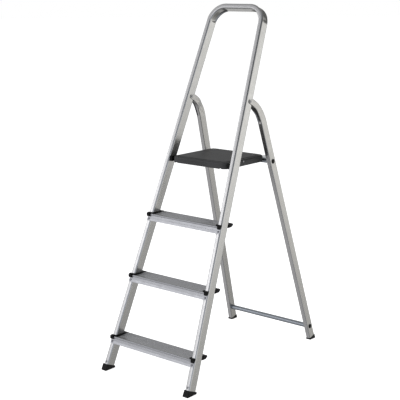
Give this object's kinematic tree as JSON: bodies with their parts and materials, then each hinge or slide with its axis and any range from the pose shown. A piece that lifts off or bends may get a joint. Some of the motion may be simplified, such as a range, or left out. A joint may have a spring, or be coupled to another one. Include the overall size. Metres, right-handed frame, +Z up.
{
  "type": "folding platform steps",
  "caption": "Folding aluminium platform steps with a tall hoop handrail, ribbed treads, a moulded platform and a fold-in rear frame on rubber feet.",
  "frame": {"origin": "on the floor, at the middle of the footprint of the open steps", "axes": "+X to the user's right when facing the treads, +Y towards the rear legs, +Z up"},
  "size_m": [0.4622, 0.8745, 1.4547],
  "materials": {
    "frame_aluminium": "satin",
    "leg_aluminium": "satin",
    "tread_aluminium": "ribbed satin",
    "tube_aluminium": "satin",
    "rivet_steel": "satin",
    "bracket_steel": "bright",
    "black_plastic": "matte",
    "platform_plastic": "fine grained",
    "foot_rubber": "matte"
  },
  "bodies": {
    "front": {"front_frame": "frame_aluminium", "front_foot_right": "foot_rubber", "front_foot_left": "foot_rubber", "tread_1": "tread_aluminium", "tread_1_cap_right": "black_plastic", "tread_1_cap_left": "black_plastic", "tread_1_rivet_right": "rivet_steel", "tread_1_rivet_left": "rivet_steel", "tread_2": "tread_aluminium", "tread_2_cap_right": "black_plastic", "tread_2_cap_left": "black_plastic", "tread_2_rivet_right": "rivet_steel", "tread_2_rivet_left": "rivet_steel", "tread_3": "tread_aluminium", "tread_3_cap_right": "black_plastic", "tread_3_cap_left": "black_plastic", "tread_3_rivet_right": "rivet_steel", "tread_3_rivet_left": "rivet_steel", "foot_rivet_right": "rivet_steel", "foot_rivet_left": "rivet_steel", "hinge_pin_right": "rivet_steel", "hinge_pin_left": "rivet_steel", "pivot_block_right": "black_plastic", "pivot_block_left": "black_plastic", "pivot_pin_right": "rivet_steel", "pivot_pin_left": "rivet_steel"},
    "rear": {"rear_leg_right": "leg_aluminium", "rear_leg_left": "leg_aluminium", "rear_foot_right": "foot_rubber", "rear_foot_left": "foot_rubber", "lower_brace": "tube_aluminium", "upper_cross_tube": "tube_aluminium", "lower_brace_plug_right": "black_plastic", "lower_brace_plug_left": "black_plastic", "upper_tube_plug_right": "black_plastic", "upper_tube_plug_left": "black_plastic"},
    "platform": {"platform": "platform_plastic", "platform_bracket_right": "bracket_steel", "platform_bracket_left": "bracket_steel", "platform_rivet_right": "rivet_steel", "platform_rivet_left": "rivet_steel"}
  },
  "joints": [
    {"name": "rear_fold", "type": "hinge", "parent": "front", "child": "rear", "pos_m": [0, 0.0345, 1.0784], "axis": [-1, 0, 0], "range_deg": [0, 37]},
    {"name": "platform_tilt", "type": "hinge", "parent": "front", "child": "platform", "pos_m": [0, -0.0728, 0.834], "axis": [1, 0, 0], "range_deg": [0, 64.1]}
  ],
  "couplings": [
    {"joint": "platform_tilt", "follows": "rear_fold", "ratio": 1.73}
  ]
}
